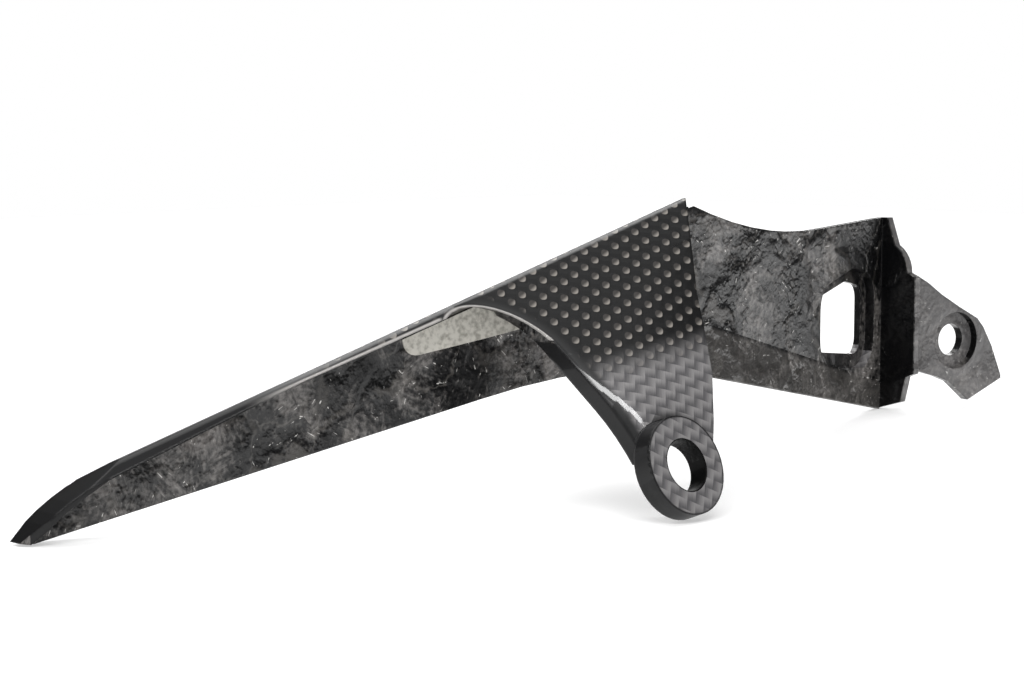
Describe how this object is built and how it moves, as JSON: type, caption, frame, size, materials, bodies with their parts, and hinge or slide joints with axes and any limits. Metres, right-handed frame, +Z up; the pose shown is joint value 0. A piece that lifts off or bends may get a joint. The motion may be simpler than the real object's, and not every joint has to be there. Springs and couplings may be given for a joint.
{
  "type": "motorcycle chain guard",
  "caption": "Carbon laminate chain guard: a long bowed wall under a ridge roof, a lug with a bored boss on one side, a bored rear tab, a window in a pressed pocket and a blank label.",
  "frame": {"origin": "centre of the lug's bore, on the face of its boss", "axes": "+X along the guard from the nose to the rear tab, +Y from the lug across to the long wall, +Z up from the table it lies on"},
  "size_m": [0.2976, 0.0762, 0.0604],
  "materials": {
    "carbon": "gloss",
    "label": "matte"
  },
  "bodies": {
    "root": {"guard": "carbon", "label": "label"}
  },
  "joints": []
}
